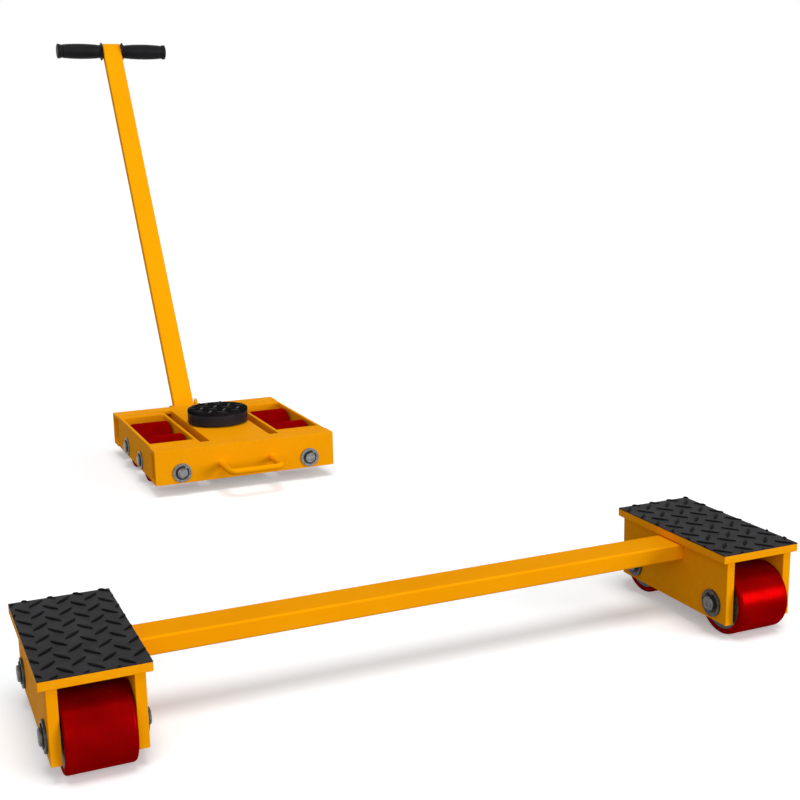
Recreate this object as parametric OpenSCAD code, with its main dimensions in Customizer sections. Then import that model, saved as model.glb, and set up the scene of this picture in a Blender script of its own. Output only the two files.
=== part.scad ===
/* [Front frame] */
// Width of the front skate, left to right
frame_w = 360; // [354:1:420]
// Depth of the front skate, front to rear
frame_d = 400; // [392:1:460]
// Height of the crossmembers
frame_h = 67; // [65:1:72]
// Gap between the floor and the frame
frame_clearance = 24; // [20:0.5:26]
// Width of a crossmember's flanges
flange_w = 42; // [36:1:46]
// Thickness of a crossmember's web and flanges
channel_t = 7; // [5:0.5:8]
// Radius inside a crossmember, where web and flange meet
channel_fillet = 2.5; // [1:0.5:6]
// Width of the deck between the roller trucks
deck_w = 122; // [118:1:126]
// Thickness of the deck's top plate
deck_t = 12; // [11:0.5:15]
// Thickness of the deck's side walls
deck_wall_t = 8; // [6:0.5:12]

/* [Rollers] */
// Diameter of a roller over its tread
roller_d = 90; // [88:0.5:92]
// Length of a roller
roller_l = 77; // [70:0.5:78]
// Radius of the tread's rounded shoulders
roller_shoulder = 4; // [2:0.5:6]
// Diameter of the steel hub inside the tread
hub_d = 75; // [70:0.5:78]
// Step from the tread's end down to the hub's end
hub_step = 1; // [0.5:0.25:2]
// Outer diameter of the roller's ball bearings
bearing_d = 47; // [42:0.5:50]
// Width of a ball bearing
bearing_w = 14; // [12:0.5:16]
// Outer diameter of a bearing's inner ring
inner_ring_d = 27; // [26:0.5:29]

/* [Axles and pins] */
// Diameter of the roller axles and rocker pins
axle_d = 20; // [18:0.5:22]
// Outer diameter of the flat washers
washer_d = 37; // [34:0.5:38]
// Thickness of the flat washers
washer_t = 3; // [2:0.25:4]
// Outer diameter of the circlips
circlip_d = 26; // [25:0.5:28]
// Thickness of the circlips
circlip_t = 1.5; // [1:0.1:2]
// Depth of a circlip's groove
groove_depth = 0.75; // [0.5:0.05:1]
// Length of pin beyond its circlip
pin_tail = 3; // [2:0.25:4]
// Chamfer on the ends of axles and pins
pin_chamfer = 1; // [0.5:0.25:1.5]

/* [Front trucks] */
// Width of a roller truck over its side plates
truck_w = 98; // [94:1:100]
// Distance of a truck's side from the crossmember's end
truck_inset = 2; // [1:0.5:6]
// Thickness of a truck's side plates
truck_side_t = 6; // [5:0.5:8]
// Thickness of a truck's end plates
truck_end_t = 25; // [16:1:28]
// Gap between a truck and each crossmember
truck_end_gap = 4; // [2:0.5:6]
// Gap between the floor and a truck's plates
truck_clearance = 23.5; // [20:0.5:26]
// Distance between a truck's two axles
truck_axle_spacing = 128; // [112:1:136]
// Diameter of a rocker pin's shoulder, inside the crossmember
rocker_shoulder_d = 24; // [23:0.5:26]
// Turn of the rocker pins' circlips from upright, in degrees
rocker_clip_turn = -40; // [-180:5:180]

/* [Turntable] */
// Diameter of the turntable
turntable_d = 124; // [110:1:130]
// Gap between the deck and the turntable
turntable_gap = 3; // [2:0.25:5]
// Thickness of the turntable's steel plate
turntable_plate_t = 21; // [18:0.5:25]
// Thickness of the turntable's rubber pad
turntable_pad_t = 6.5; // [5:0.5:10]
// Radius of the pad's upper edge
turntable_pad_edge = 2; // [1:0.5:4]
// Diameter of the king pin
king_pin_d = 24; // [20:0.5:26]
// Outer diameter of the boss under the deck
king_boss_d = 44; // [40:0.5:50]
// Length of the boss under the deck
king_boss_l = 20; // [14:1:24]
// Outer diameter of the thrust bearing
thrust_d = 70; // [68:0.5:76]
// Bore of the thrust bearing
thrust_bore = 50; // [48:0.5:52]
// Thickness of each thrust race
thrust_race_t = 4.6; // [4.2:0.1:4.8]
// Diameter of the thrust balls
thrust_ball_d = 8; // [7:0.25:8.5]
// Number of thrust balls
thrust_balls_n = 16; // [12:1:18]
// Depth of the deck's recess for the lower race
thrust_recess = 5; // [4.5:0.25:6]

/* [Pull handle] */
// Lean of the handle from the vertical, in degrees
handle_lean = 34.5; // [0:0.5:60]
// Length of the handle from its pivot to its top
handle_l = 1036; // [700:1:1100]
// Width of the handle's tube
handle_tube_w = 46; // [40:1:50]
// Depth of the handle's tube
handle_tube_t = 18; // [16:1:24]
// Wall of the handle's tube
handle_wall = 2.5; // [2:0.25:3.5]
// Outer diameter of the pivot bush at the handle's foot
bush_d = 26; // [24:1:32]
// Distance from the rear crossmember to the handle's pivot
hitch_reach = 94; // [70:1:120]
// Height of the handle's pivot over the floor
hitch_z = 61.5; // [55:0.5:75]
// Thickness of the hitch ears
ear_t = 6; // [5:0.5:10]
// Radius of the hitch ears' round ends
ear_head_r = 12.5; // [12:0.5:18]
// Height of the right ear's tip over the handle's pivot
ear_tip_h = 23; // [18:1:30]
// Diameter of the hitch pin
hitch_pin_d = 14; // [10:0.5:16]
// Thickness of the hitch pin's head
hitch_head_t = 4; // [3:0.5:8]
// Distance of the cross bar from the handle's top
crossbar_drop = 18; // [16:0.5:40]
// Diameter of the cross bar
crossbar_d = 14; // [10:0.5:14]
// Length of a grip
grip_l = 114.5; // [90:0.5:140]
// Largest diameter of a grip
grip_d = 39.5; // [34:0.5:42]
// Diameter of a grip's inner flange
grip_flange_d = 45.5; // [43:0.5:52]

/* [Carry handle] */
// Diameter of the carry handle's rod
carry_rod_d = 12; // [10:0.5:14]
// Distance between the carry handle's legs
carry_w = 102; // [80:1:120]
// How far the carry handle stands out
carry_reach = 72; // [50:1:80]
// Height at which the carry handle leaves the crossmember
carry_z = 54; // [48:1:60]
// Droop of the carry handle, in degrees
carry_droop = 2; // [0:1:15]
// Bend radius of the rod, at its centre line
carry_bend = 13; // [12:1:20]

/* [Rear trucks] */
// Distance between the rear trucks' centres
rear_spacing = 865; // [650:5:950]
// Width of a rear truck's top plate
rear_plate_w = 120; // [114:1:130]
// Length of a rear truck's top plate
rear_plate_l = 244; // [240:1:260]
// Thickness of a rear truck's top plate
rear_plate_t = 10.5; // [8:0.5:13]
// Height of the top plate's upper face over the floor
rear_top_z = 120; // [119:0.5:126]
// Width of a rear truck over its side plates
rear_body_w = 104; // [103:0.5:108]
// Length of the side plates
rear_side_l = 237; // [228:1:238]
// Thickness of the side plates
rear_side_t = 12; // [8:0.5:12]
// Gap between the floor and the side plates
rear_clearance = 22; // [18:0.5:25]
// Distance between a rear truck's two axles
rear_axle_spacing = 178; // [165:1:185]
// Leg length of the weld under the top plate
weld_leg = 5; // [3:0.5:6]

/* [Tread pads] */
// Thickness of the rubber sheet on the rear trucks
pad_sheet_t = 1.5; // [1.25:0.25:3]
// Height of the raised bars
bar_rise = 1.5; // [1:0.1:2]
// Length of a raised bar
bar_l = 26; // [20:0.5:28]
// Width of a raised bar
bar_w = 6; // [5:0.5:7]
// Distance between like bars, across the pad
bar_pitch_x = 32; // [30:0.5:36]
// Distance between like bars, along the pad
bar_pitch_y = 38.5; // [36:0.5:42]
// Turn of the bars from the pad's width, in degrees
bar_turn = 50; // [45:1:55]
// Turn of the whole pattern on the rear pads, in degrees
pattern_turn = -4; // [-8:0.5:8]
// Distance of the pattern's centre from a rear pad's centre, inwards
pattern_x = 11; // [0:0.5:16]
// Distance of the pattern's centre from a rear pad's centre, to the rear
pattern_y = 6.5; // [0:0.5:19]
// Turn of the whole pattern on the turntable, in degrees
turntable_pattern_turn = 13; // [-20:1:20]
// Distance of the pattern's centre from the turntable's centre, to the left
turntable_pattern_x = 14.5; // [0:0.5:16]
// Distance of the pattern's centre from the turntable's centre, to the front
turntable_pattern_y = 15; // [0:0.5:19]

/* [Tie bar] */
// Width of the tie bar
tie_w = 49; // [40:1:52]
// Height of the tie bar
tie_h = 23; // [18:0.5:24]
// Wall of the tie bar
tie_wall = 3; // [2:0.25:4]
// Radius of the tie bar's long edges
tie_edge = 3; // [2:0.25:4]
// Gap between the tie bar and the top plates
tie_drop = 1.5; // [1:0.25:4]
// Gap between the tie bar's end and the outer side plate
tie_end_gap = 1; // [0.5:0.25:3]

/* [Placing] */
// Distance between the two units' centres, front to rear
unit_distance = 1108; // [700:1:1400]
// How far the front skate stands to the right of the rear skate
unit_shift = 40.5; // [0:0.5:150]

/* [Clearances] */
// Radial clearance of a running fit
running = 0.05; // [0.03:0.01:0.08]
// Clearance between pieces that move past each other
side_gap = 0.4; // [0.3:0.05:0.6]

/* [Hidden] */
$fn = 64;
SIDES = [["left", -1], ["right", 1]];
ENDS = [["front", -1], ["rear", 1]];
UNITS = ["steer", "rear"];
ROLLER_PIECES = ["tread", "hub", "bearings"];
TRUCK_PIECES = ["axles", "washers", "circlips"];

paint = [1.0, 0.62, 0.0];
red = [0.6, 0.02, 0.03];
black = [0.12, 0.12, 0.13];
zinc = [0.62, 0.63, 0.64];
steel = [0.45, 0.46, 0.48];
brass = [0.75, 0.6, 0.3];

axle_r = axle_d / 2;
roller_r = roller_d / 2;
hub_l = roller_l - 2 * hub_step;
hub_relief_d = bearing_d - 7;
hub_chamfer = 1.5;
bond_line = 0.05;
bearing_edge = 1;
shield_recess = 0.6;
inner_ring_r = inner_ring_d / 2;
frame_z = frame_clearance;
frame_top = frame_z + frame_h;
rail_half = frame_d / 2 - flange_w;
web_fillet = min(channel_fillet, roller_r - rocker_shoulder_d / 2 - frame_z - channel_t);
truck_x = frame_w / 2 - truck_inset - truck_w / 2;
truck_half_l = rail_half - truck_end_gap;
truck_inner_w = truck_w - 2 * truck_side_t;
pin_out = washer_t + circlip_t + pin_tail;
washer_bore = axle_d + 0.6;
circlip_gap = 5;
circlip_lug_r = 2.4;
circlip_hole_r = 1;

deck_inner_w = deck_w - 2 * deck_wall_t;
plate_z = frame_top + turntable_gap;
pad_z = plate_z + turntable_plate_t;
thrust_z = frame_top - thrust_recess;
thrust_pitch_r = (thrust_d + thrust_bore) / 4;
thrust_h = 2 * thrust_race_t + 0.6 * thrust_ball_d;
thrust_ball_z = thrust_z + thrust_h / 2;
thrust_cage_t = 2.4;
thrust_cage_w = (thrust_d - thrust_bore) / 2 - 3;
king_boss_z = frame_top - deck_t - king_boss_l;
king_washer_d = king_boss_d - 4;
king_tail = 5;

hitch_y = frame_d / 2 + hitch_reach;
ear_gap = 2;
ear_tip_w = 4;
hitch_washer_t = 1.5;
hitch_head_d = hitch_pin_d + 10;
ear_x = handle_tube_w / 2 + ear_gap;
ear_foot_top = frame_top - 12;
ear_foot_low = frame_z + 8;
crossbar_z = handle_l - crossbar_drop;
grip_start = handle_tube_w / 2 + 1;
grip_end_cap = 3;
crossbar_half = grip_start + grip_l - grip_end_cap;
cap_t = 3;
tube_edge = 3;

side_top_z = rear_top_z - rear_plate_t;
rear_inner_w = rear_body_w - 2 * rear_side_t;
tie_z = side_top_z - tie_drop - tie_h / 2;
tie_half = rear_spacing / 2 + rear_inner_w / 2 - tie_end_gap;

unit_front = rear_axle_spacing / 2 + roller_r;
handle_back = hitch_y + crossbar_z * sin(handle_lean) + grip_flange_d / 2;
rear_y = (unit_front - unit_distance - handle_back) / 2;
front_y = rear_y + unit_distance;
front_x = unit_shift;

function piece_name(u, s, p) = str(u, "_", s[0], "_", p);
function roller_name(u, s, e, p) = str(u, "_", s[0], "_", e[0], "_", p);
function tangent_turn(p, r) = acos(r / norm(p));

module place_front() translate([front_x, front_y, 0]) children();
module place_rear() translate([0, rear_y, 0]) children();

// A pin or axle along Z with chamfered ends and a circlip groove at each height in grooves
module grooved_pin(d, z0, z1, grooves) {
    c = pin_chamfer;
    difference() {
        union() {
            translate([0, 0, z0]) cylinder(h = c, r1 = d / 2 - c, r2 = d / 2);
            translate([0, 0, z0 + c]) cylinder(h = z1 - z0 - 2 * c, d = d);
            translate([0, 0, z1 - c]) cylinder(h = c, r1 = d / 2, r2 = d / 2 - c);
        }
        for (z = grooves) translate([0, 0, z]) difference() {
            cylinder(h = circlip_t, d = d + 2);
            translate([0, 0, -1]) cylinder(h = circlip_t + 2, d = d - 2 * groove_depth);
        }
    }
}

// A ring along Z, from z0 to z1
module ring(d_out, d_in, z0, z1) {
    translate([0, 0, z0]) difference() {
        cylinder(h = z1 - z0, d = d_out);
        translate([0, 0, -1]) cylinder(h = z1 - z0 + 2, d = d_in);
    }
}

// An external circlip, lying on z0, with its open side towards +Y
module circlip(d_shaft, d_out, z0) {
    d_in = d_shaft - 2 * groove_depth;
    lug_y = sqrt(pow(d_out / 2 - circlip_lug_r / 2, 2) - pow(circlip_gap, 2));
    translate([0, 0, z0]) difference() {
        union() {
            difference() {
                cylinder(h = circlip_t, d = d_out);
                translate([-circlip_gap / 2, 0, -1]) cube([circlip_gap, d_out, circlip_t + 2]);
            }
            for (sx = [-1, 1]) translate([sx * circlip_gap, lug_y, 0]) cylinder(h = circlip_t, r = circlip_lug_r);
        }
        translate([0, 0, -1]) cylinder(h = circlip_t + 2, d = d_in);
        for (sx = [-1, 1]) translate([sx * circlip_gap, lug_y, -1]) cylinder(h = circlip_t + 2, r = circlip_hole_r);
    }
}

// A flat rectangle with round corners, centred
module soft_square(w, h, r) {
    square([w - 2 * r, h], center = true);
    square([w, h - 2 * r], center = true);
    for (sx = [-1, 1], sy = [-1, 1]) translate([sx * (w / 2 - r), sy * (h / 2 - r)]) circle(r = r);
}

// Crossmember: a rolled channel along X, web outermost, with bores for the rocker pins
module channel_profile() {
    r = web_fillet;
    difference() {
        square([flange_w, frame_h]);
        translate([channel_t + r, channel_t]) square([flange_w, frame_h - 2 * channel_t]);
        translate([channel_t, channel_t + r]) square([flange_w, frame_h - 2 * channel_t - 2 * r]);
        for (z = [channel_t + r, frame_h - channel_t - r]) translate([channel_t + r, z]) circle(r = r);
    }
}

module crossmember() {
    difference() {
        translate([-frame_w / 2, -frame_d / 2, frame_z]) rotate([90, 0, 90])
            linear_extrude(frame_w) channel_profile();
        for (s = SIDES) translate([s[1] * truck_x, -frame_d / 2 - 1, roller_r]) rotate([-90, 0, 0])
            cylinder(h = channel_t + 2, d = axle_d);
    }
}

module front_crossmember() color(paint) place_front() crossmember();

module rear_crossmember() color(paint) place_front() rotate([0, 0, 180]) crossmember();

// Deck: a top plate flush with the flanges, on two walls that run into the channels
module deck() color(paint) place_front() {
    wall_l = frame_d - 2 * channel_t;
    slot_h = frame_h - 2 * channel_t;
    difference() {
        union() {
            translate([-deck_w / 2, -rail_half, frame_top - deck_t]) cube([deck_w, 2 * rail_half, deck_t]);
            for (sx = [-1, 1]) translate([sx * (deck_w - deck_wall_t) / 2 - deck_wall_t / 2, 0, 0]) {
                translate([0, -rail_half, frame_z]) cube([deck_wall_t, 2 * rail_half, frame_h - deck_t / 2]);
                translate([0, -wall_l / 2 + web_fillet, frame_z + channel_t])
                    cube([deck_wall_t, wall_l - 2 * web_fillet, slot_h]);
            }
            translate([0, 0, king_boss_z]) cylinder(h = king_boss_l + 1, d = king_boss_d);
        }
        translate([0, 0, thrust_z]) cylinder(h = thrust_recess + 1, d = thrust_d + side_gap);
        translate([0, 0, king_boss_z - 1]) cylinder(h = frame_h, d = king_pin_d + 2 * running);
    }
}

// Carry handle: a round rod bent to a U, drooping a little from the front crossmember
module carry_handle() color(paint) place_front()
    translate([0, -frame_d / 2, carry_z]) rotate([carry_droop, 0, 0]) {
        reach = carry_reach - carry_rod_d / 2;
        foot = carry_rod_d / 2 * tan(carry_droop);
        half = carry_w / 2;
        difference() {
            union() {
                for (sx = [-1, 1]) translate([sx * half, 0, 0]) {
                    rotate([90, 0, 0]) translate([0, 0, -foot - 2])
                        linear_extrude(reach - carry_bend + foot + 2) circle(d = carry_rod_d);
                    translate([-sx * carry_bend, carry_bend - reach, 0])
                        rotate([0, 0, sx > 0 ? -90 : 180])
                        rotate_extrude(angle = 90) translate([carry_bend, 0]) circle(d = carry_rod_d);
                }
                translate([carry_bend - half, -reach, 0]) rotate([0, 90, 0])
                    linear_extrude(carry_w - 2 * carry_bend) circle(d = carry_rod_d);
            }
            rotate([-carry_droop, 0, 0]) translate([-carry_w, 0, -carry_w / 2]) cube([2 * carry_w, 20, carry_w]);
        }
    }

// Hitch ears: two plates that taper from the rear crossmember to the handle's pivot.
// The right one runs up to a narrow tip beside the handle's foot.
module ear_outline(tip) {
    foot_top = [-hitch_reach, ear_foot_top - hitch_z];
    foot_low = [-hitch_reach, ear_foot_low - hitch_z];
    turn_top = atan2(foot_top[1], foot_top[0]) - tangent_turn(foot_top, ear_head_r);
    turn_low = atan2(foot_low[1], foot_low[0]) + tangent_turn(foot_low, ear_head_r);
    tip_turn = 30;
    difference() {
        union() {
            circle(r = ear_head_r);
            if (tip) polygon([
                [-ear_head_r * cos(tip_turn), ear_head_r * sin(tip_turn)],
                [-ear_tip_w / 2, ear_tip_h],
                [ear_tip_w / 2, ear_tip_h],
                [ear_head_r * cos(tip_turn), ear_head_r * sin(tip_turn)]
            ]);
            polygon([
                foot_top,
                ear_head_r * [cos(turn_top), sin(turn_top)],
                [0, 0],
                ear_head_r * [cos(turn_low), sin(turn_low)],
                foot_low
            ]);
        }
        circle(d = hitch_pin_d);
    }
}

module hitch_ears() color(paint) place_front()
    for (s = SIDES) translate([s[1] * (ear_x + ear_t / 2) - ear_t / 2, hitch_y, hitch_z]) rotate([90, 0, 90])
        linear_extrude(ear_t) ear_outline(s[1] > 0);

// Hitch pin: a flat head on the right, a washer and a circlip on the left
module hitch_pin() place_front() translate([0, hitch_y, hitch_z]) rotate([0, 90, 0]) {
    out = ear_x + ear_t;
    groove = -out - hitch_washer_t - circlip_t;
    color(zinc) {
        translate([0, 0, out]) cylinder(h = hitch_head_t, d = hitch_head_d);
        grooved_pin(hitch_pin_d, groove - pin_tail, out + hitch_head_t - pin_chamfer, [groove]);
        ring(hitch_head_d, hitch_pin_d + 0.5, -out - hitch_washer_t, -out);
    }
    color(black) circlip(hitch_pin_d, hitch_pin_d + 6, groove);
}

// Rocker pins: a shoulder inside the crossmember keeps each truck in the middle
module at_rocker_pins() place_front()
    for (s = SIDES, e = ENDS) translate([s[1] * truck_x, 0, roller_r])
        rotate([0, 0, e[1] > 0 ? 180 : 0]) rotate([90, 0, 0]) children();

module rocker_pins() color(steel) at_rocker_pins() {
    web = frame_d / 2;
    grooved_pin(axle_d, truck_half_l - truck_end_t + 1, web + pin_out, [web + washer_t]);
    ring(rocker_shoulder_d, axle_d, truck_half_l + side_gap, web - channel_t);
}

module rocker_washers() color(zinc) at_rocker_pins()
    ring(washer_d, washer_bore, frame_d / 2, frame_d / 2 + washer_t);

module rocker_circlips() color(black) at_rocker_pins() rotate(rocker_clip_turn)
    circlip(axle_d, circlip_d, frame_d / 2 + washer_t);

// Turntable, its king pin and the thrust bearing that carries it
module thrust_groove() rotate_extrude() translate([thrust_pitch_r, thrust_ball_z])
    circle(d = thrust_ball_d + 2 * running);

module thrust_lower_race() color(steel) place_front() difference() {
    ring(thrust_d, thrust_bore, thrust_z, thrust_z + thrust_race_t);
    thrust_groove();
}

module thrust_balls() place_front() {
    top = thrust_z + thrust_h;
    color(steel) difference() {
        ring(thrust_d, thrust_bore, top - thrust_race_t, top);
        thrust_groove();
    }
    color(brass) difference() {
        ring(2 * thrust_pitch_r + thrust_cage_w, 2 * thrust_pitch_r - thrust_cage_w,
            thrust_ball_z - thrust_cage_t / 2, thrust_ball_z + thrust_cage_t / 2);
        for (i = [0 : thrust_balls_n - 1]) rotate(i * 360 / thrust_balls_n)
            translate([thrust_pitch_r, 0, thrust_ball_z - thrust_cage_t])
            cylinder(h = 2 * thrust_cage_t, d = thrust_ball_d + 4 * running);
    }
    color(steel) for (i = [0 : thrust_balls_n - 1]) rotate(i * 360 / thrust_balls_n)
        translate([thrust_pitch_r, 0, thrust_ball_z]) sphere(d = thrust_ball_d);
}

module turntable_plate() color(black) place_front() difference() {
    translate([0, 0, plate_z]) cylinder(h = turntable_plate_t, d = turntable_d);
    translate([0, 0, thrust_z]) cylinder(h = thrust_h, d = thrust_d);
    translate([0, 0, plate_z - 1]) cylinder(h = turntable_plate_t, d = king_pin_d);
}

module king_pin() place_front() {
    low = king_boss_z - side_gap - washer_t;
    color(steel) grooved_pin(king_pin_d, low - king_tail, pad_z - 1, [low - circlip_t]);
    color(zinc) ring(king_washer_d, king_pin_d + 0.6, low, low + washer_t);
    color(black) circlip(king_pin_d, king_pin_d + 7, low - circlip_t);
}

// Raised bars of a tread pad: pointed bars in two directions, each row half a pitch on
module tread_bar() {
    r = (pow(bar_l / 2, 2) + pow(bar_w / 2, 2)) / bar_w;
    linear_extrude(bar_rise + 0.5) intersection() {
        translate([0, bar_w / 2 - r]) circle(r = r);
        translate([0, r - bar_w / 2]) circle(r = r);
    }
}

module tread_bars(nx, ny) for (i = [-nx : nx], j = [-ny : ny])
    translate([i * bar_pitch_x, j * bar_pitch_y, -0.5]) {
        rotate(-bar_turn) tread_bar();
        translate([bar_pitch_x / 2, bar_pitch_y / 2, 0]) rotate(bar_turn) tread_bar();
    }

module turntable_pad() color(black) place_front() translate([0, 0, pad_z]) {
    r = turntable_d / 2;
    e = turntable_pad_edge;
    rotate_extrude() {
        square([r - e, turntable_pad_t]);
        square([r, turntable_pad_t - e]);
        translate([r - e, turntable_pad_t - e]) circle(r = e);
    }
    intersection() {
        cylinder(h = turntable_pad_t + 2 * bar_rise, r = r - e);
        translate([-turntable_pattern_x, -turntable_pattern_y, turntable_pad_t]) rotate(turntable_pattern_turn)
            tread_bars(3, 2);
    }
}

// Front roller truck: an open box of two side plates and two thick end plates
module truck_box(side) color(paint) place_front() translate([side * truck_x, 0, 0]) difference() {
    h = frame_top - truck_clearance;
    translate([-truck_w / 2, -truck_half_l, truck_clearance]) cube([truck_w, 2 * truck_half_l, h]);
    translate([-truck_inner_w / 2, truck_end_t - truck_half_l, 0])
        cube([truck_inner_w, 2 * (truck_half_l - truck_end_t), frame_top + 1]);
    for (e = ENDS) translate([-truck_w, e[1] * truck_axle_spacing / 2, roller_r]) rotate([0, 90, 0])
        cylinder(h = 2 * truck_w, d = axle_d);
    translate([0, truck_half_l + 1, roller_r]) rotate([90, 0, 0])
        cylinder(h = 2 * truck_half_l + 2, d = axle_d + 2 * running);
}

// Rear truck: a top plate welded on two side plates, the inner one slotted for the tie bar
module rear_frame(side) color(paint) place_rear() translate([side * rear_spacing / 2, 0, 0]) difference() {
    union() {
        translate([-rear_plate_w / 2, -rear_plate_l / 2, side_top_z])
            cube([rear_plate_w, rear_plate_l, rear_plate_t]);
        for (sx = [-1, 1]) {
            translate([sx * (rear_body_w - rear_side_t) / 2 - rear_side_t / 2, -rear_side_l / 2, rear_clearance])
                cube([rear_side_t, rear_side_l, side_top_z - rear_clearance]);
            scale([sx, 1, 1]) translate([rear_body_w / 2, rear_side_l / 2 - weld_leg, side_top_z])
                rotate([90, 0, 0]) linear_extrude(rear_side_l - 2 * weld_leg) difference() {
                    translate([0, -weld_leg]) square(weld_leg);
                    translate([weld_leg, -weld_leg]) circle(r = weld_leg);
                }
        }
    }
    for (e = ENDS) translate([-rear_body_w, e[1] * rear_axle_spacing / 2, roller_r]) rotate([0, 90, 0])
        cylinder(h = 2 * rear_body_w, d = axle_d);
    translate([-side * (rear_inner_w + rear_plate_w) / 4, 0, tie_z]) rotate([90, 0, 90])
        linear_extrude(rear_plate_w / 2, center = true)
        soft_square(tie_w + 2 * side_gap, tie_h + 2 * side_gap, tie_edge + side_gap);
}

module rear_pad(side) color(black) place_rear() translate([side * rear_spacing / 2, 0, rear_top_z]) {
    nx = ceil((rear_plate_w + bar_l) / bar_pitch_x / 2) + 1;
    ny = ceil((rear_plate_l + bar_l) / bar_pitch_y / 2);
    translate([-rear_plate_w / 2, -rear_plate_l / 2, 0]) cube([rear_plate_w, rear_plate_l, pad_sheet_t]);
    intersection() {
        translate([-rear_plate_w / 2, -rear_plate_l / 2, 0])
            cube([rear_plate_w, rear_plate_l, pad_sheet_t + 2 * bar_rise]);
        translate([-side * pattern_x, pattern_y, pad_sheet_t]) rotate(pattern_turn) tread_bars(nx, ny);
    }
}

module tie_bar() color(paint) place_rear() translate([-tie_half, 0, tie_z]) rotate([90, 0, 90])
    linear_extrude(2 * tie_half) difference() {
        soft_square(tie_w, tie_h, tie_edge);
        square([tie_w - 2 * tie_wall, tie_h - 2 * tie_wall], center = true);
    }

// Axles with their spacers, bearing inner rings, washers and circlips, for both kinds of truck
function half_w(unit) = unit == "steer" ? truck_w / 2 : rear_body_w / 2;
function side_t(unit) = unit == "steer" ? truck_side_t : rear_side_t;
function spacing(unit) = unit == "steer" ? truck_axle_spacing : rear_axle_spacing;
function centre(unit, side) = unit == "steer"
    ? [front_x + side * truck_x, front_y]
    : [side * rear_spacing / 2, rear_y];

module at_axle(unit, side, end) {
    c = centre(unit, side);
    translate([c[0], c[1] + end * spacing(unit) / 2, roller_r]) rotate([90, 0, 90]) children();
}

module at_axle_ends(unit, side) for (e = ENDS) at_axle(unit, side, e[1])
    for (turn = [0, 180]) rotate([0, turn, 0]) children();

module axles(unit, side) {
    out = half_w(unit) + pin_out;
    groove = half_w(unit) + washer_t;
    inner = half_w(unit) - side_t(unit);
    color(steel) for (e = ENDS) at_axle(unit, side, e[1]) {
        grooved_pin(axle_d, -out, out, [groove, -groove - circlip_t]);
        ring(inner_ring_d - 1, axle_d, bearing_w - hub_l / 2, hub_l / 2 - bearing_w);
        for (turn = [0, 180]) rotate([0, turn, 0]) {
            ring(inner_ring_d, axle_d, hub_l / 2 - bearing_w, hub_l / 2);
            ring(inner_ring_d, axle_d, hub_l / 2, inner);
        }
    }
}

module axle_washers(unit, side) color(zinc) at_axle_ends(unit, side)
    ring(washer_d, washer_bore, half_w(unit), half_w(unit) + washer_t);

module axle_circlips(unit, side) color(black) at_axle_ends(unit, side)
    circlip(axle_d, circlip_d, half_w(unit) + washer_t);

// Roller: a red tread bonded round a steel hub, with a sealed bearing in each end
module roller_tread(unit, side, end) color(red) at_axle(unit, side, end) {
    bore_r = hub_d / 2 + bond_line;
    wall = roller_r - bore_r;
    rotate_extrude() translate([bore_r, 0]) intersection() {
        soft_square(2 * wall, roller_l, roller_shoulder);
        translate([0, -roller_l / 2]) square([wall, roller_l]);
    }
}

module roller_hub(unit, side, end) color(steel) at_axle(unit, side, end) difference() {
    cylinder(h = hub_l, d = hub_d, center = true);
    cylinder(h = hub_l + 2, d = hub_relief_d, center = true);
    for (turn = [0, 180]) rotate([0, turn, 0]) {
        translate([0, 0, hub_l / 2 - bearing_w]) cylinder(h = bearing_w + 1, d = bearing_d);
        translate([0, 0, hub_l / 2 - hub_chamfer])
            cylinder(h = hub_chamfer, r1 = bearing_d / 2, r2 = bearing_d / 2 + hub_chamfer);
    }
}

module roller_bearings(unit, side, end) color(steel) at_axle(unit, side, end)
    for (turn = [0, 180]) rotate([0, turn, 0]) {
        r_in = inner_ring_r + running;
        r_out = bearing_d / 2;
        low = hub_l / 2 - bearing_w;
        high = hub_l / 2;
        rotate_extrude() polygon([
            [r_in, low + shield_recess],
            [r_out - 2, low + shield_recess],
            [r_out - 2, low],
            [r_out - bearing_edge, low],
            [r_out, low + bearing_edge],
            [r_out, high - bearing_edge],
            [r_out - bearing_edge, high],
            [r_out - 2, high],
            [r_out - 2, high - shield_recess],
            [r_in, high - shield_recess]
        ]);
    }

// Pull handle: a flat tube on a pivot bush, with a cross bar and two grips at its top
module at_handle() place_front() translate([0, hitch_y, hitch_z]) rotate([-handle_lean, 0, 0]) children();

module handle_tube() color(paint) at_handle() difference() {
    union() {
        difference() {
            linear_extrude(handle_l) soft_square(handle_tube_w, handle_tube_t, tube_edge);
            translate([handle_wall - handle_tube_w / 2, handle_wall - handle_tube_t / 2, -1])
                cube([handle_tube_w - 2 * handle_wall, handle_tube_t - 2 * handle_wall, handle_l - cap_t + 1]);
        }
        rotate([0, 90, 0]) cylinder(h = handle_tube_w, d = bush_d, center = true);
    }
    rotate([0, 90, 0]) cylinder(h = 2 * handle_tube_w, d = hitch_pin_d + 2 * running, center = true);
    translate([0, 0, crossbar_z]) rotate([0, 90, 0]) cylinder(h = 2 * handle_tube_w, d = crossbar_d, center = true);
}

module handle_crossbar() color(paint) at_handle() translate([0, 0, crossbar_z]) rotate([0, 90, 0])
    cylinder(h = 2 * crossbar_half, d = crossbar_d, center = true);

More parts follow.
